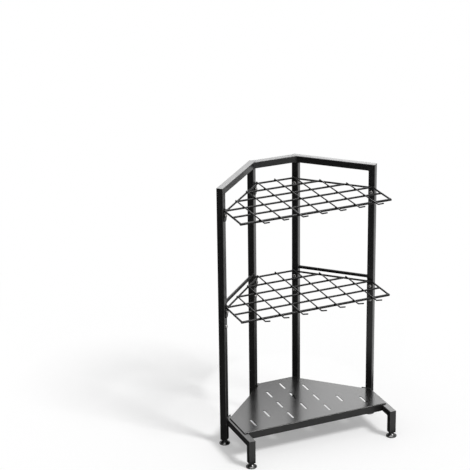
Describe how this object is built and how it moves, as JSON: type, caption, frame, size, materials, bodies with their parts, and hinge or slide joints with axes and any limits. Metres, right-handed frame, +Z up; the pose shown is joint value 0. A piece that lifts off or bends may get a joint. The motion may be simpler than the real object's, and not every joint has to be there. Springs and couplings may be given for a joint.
{
  "type": "garden tool rack",
  "caption": "Freestanding steel rack for long garden tools, with a tube frame, wire grid shelves with upturned hooks, a slotted base plate and screw-in levelling feet.",
  "frame": {"origin": "on the floor at the middle of the plan", "axes": "+X to the right seen from the front, +Y to the back, +Z up"},
  "size_m": [0.64, 0.4685, 1.005],
  "materials": {
    "powder_coat": "semi-gloss black powder coat on steel tube",
    "wire_coat": "semi-gloss black powder coat on welded wire",
    "plate_coat": "semi-gloss black powder coat on folded sheet",
    "bolt_steel": "darkened zinc on button-head bolts",
    "foot_plastic": "glossy black moulded plastic"
  },
  "bodies": {
    "rack": {"lower_post_left": "powder_coat", "upper_post_left": "powder_coat", "lower_post_right": "powder_coat", "upper_post_right": "powder_coat", "lower_post_rear_left": "powder_coat", "upper_post_rear_left": "powder_coat", "lower_post_rear_right": "powder_coat", "upper_post_rear_right": "powder_coat", "top_rail_left": "powder_coat", "mid_rail_left": "powder_coat", "base_arm_left": "powder_coat", "top_rail_right": "powder_coat", "mid_rail_right": "powder_coat", "base_arm_right": "powder_coat", "top_rail_rear": "powder_coat", "base_plate": "plate_coat", "upper_shelf_bolt_left": "bolt_steel", "lower_shelf_bolt_left": "bolt_steel", "splice_bolt_left": "bolt_steel", "upper_shelf_bolt_right": "bolt_steel", "lower_shelf_bolt_right": "bolt_steel", "splice_bolt_right": "bolt_steel", "upper_shelf_bolt_rear_left": "bolt_steel", "lower_shelf_bolt_rear_left": "bolt_steel", "splice_bolt_rear_left": "bolt_steel", "upper_shelf_bolt_rear_right": "bolt_steel", "lower_shelf_bolt_rear_right": "bolt_steel", "splice_bolt_rear_right": "bolt_steel", "upper_shelf_rim": "wire_coat", "upper_shelf_front_wire": "wire_coat", "upper_shelf_cross_wire_1": "wire_coat", "upper_shelf_cross_wire_2": "wire_coat", "upper_shelf_cross_wire_3": "wire_coat", "upper_shelf_cross_wire_4": "wire_coat", "upper_shelf_hook_wire_1": "wire_coat", "upper_shelf_hook_wire_2": "wire_coat", "upper_shelf_hook_wire_3": "wire_coat", "upper_shelf_hook_wire_4": "wire_coat", "upper_shelf_hook_wire_5": "wire_coat", "upper_shelf_hook_wire_6": "wire_coat", "upper_shelf_hook_wire_7": "wire_coat", "lower_shelf_rim": "wire_coat", "lower_shelf_front_wire": "wire_coat", "lower_shelf_cross_wire_1": "wire_coat", "lower_shelf_cross_wire_2": "wire_coat", "lower_shelf_cross_wire_3": "wire_coat", "lower_shelf_cross_wire_4": "wire_coat", "lower_shelf_hook_wire_1": "wire_coat", "lower_shelf_hook_wire_2": "wire_coat", "lower_shelf_hook_wire_3": "wire_coat", "lower_shelf_hook_wire_4": "wire_coat", "lower_shelf_hook_wire_5": "wire_coat", "lower_shelf_hook_wire_6": "wire_coat", "lower_shelf_hook_wire_7": "wire_coat"},
    "levelling_foot_left": {"foot_left": "foot_plastic"},
    "levelling_foot_right": {"foot_right": "foot_plastic"},
    "levelling_foot_rear_left": {"foot_rear_left": "foot_plastic"},
    "levelling_foot_rear_right": {"foot_rear_right": "foot_plastic"},
    "levelling_foot_front_left": {"foot_front_left": "foot_plastic"},
    "levelling_foot_front_right": {"foot_front_right": "foot_plastic"}
  },
  "joints": [
    {"name": "screw_out_foot_left", "type": "slide", "parent": "rack", "child": "levelling_foot_left", "axis": [0, 0, -1], "range_m": [-0.0025, 0.012]},
    {"name": "screw_out_foot_right", "type": "slide", "parent": "rack", "child": "levelling_foot_right", "axis": [0, 0, -1], "range_m": [-0.0025, 0.012]},
    {"name": "screw_out_foot_rear_left", "type": "slide", "parent": "rack", "child": "levelling_foot_rear_left", "axis": [0, 0, -1], "range_m": [-0.0025, 0.012]},
    {"name": "screw_out_foot_rear_right", "type": "slide", "parent": "rack", "child": "levelling_foot_rear_right", "axis": [0, 0, -1], "range_m": [-0.0025, 0.012]},
    {"name": "screw_out_foot_front_left", "type": "slide", "parent": "rack", "child": "levelling_foot_front_left", "axis": [0, 0, -1], "range_m": [-0.0025, 0.012]},
    {"name": "screw_out_foot_front_right", "type": "slide", "parent": "rack", "child": "levelling_foot_front_right", "axis": [0, 0, -1], "range_m": [-0.0025, 0.012]}
  ]
}
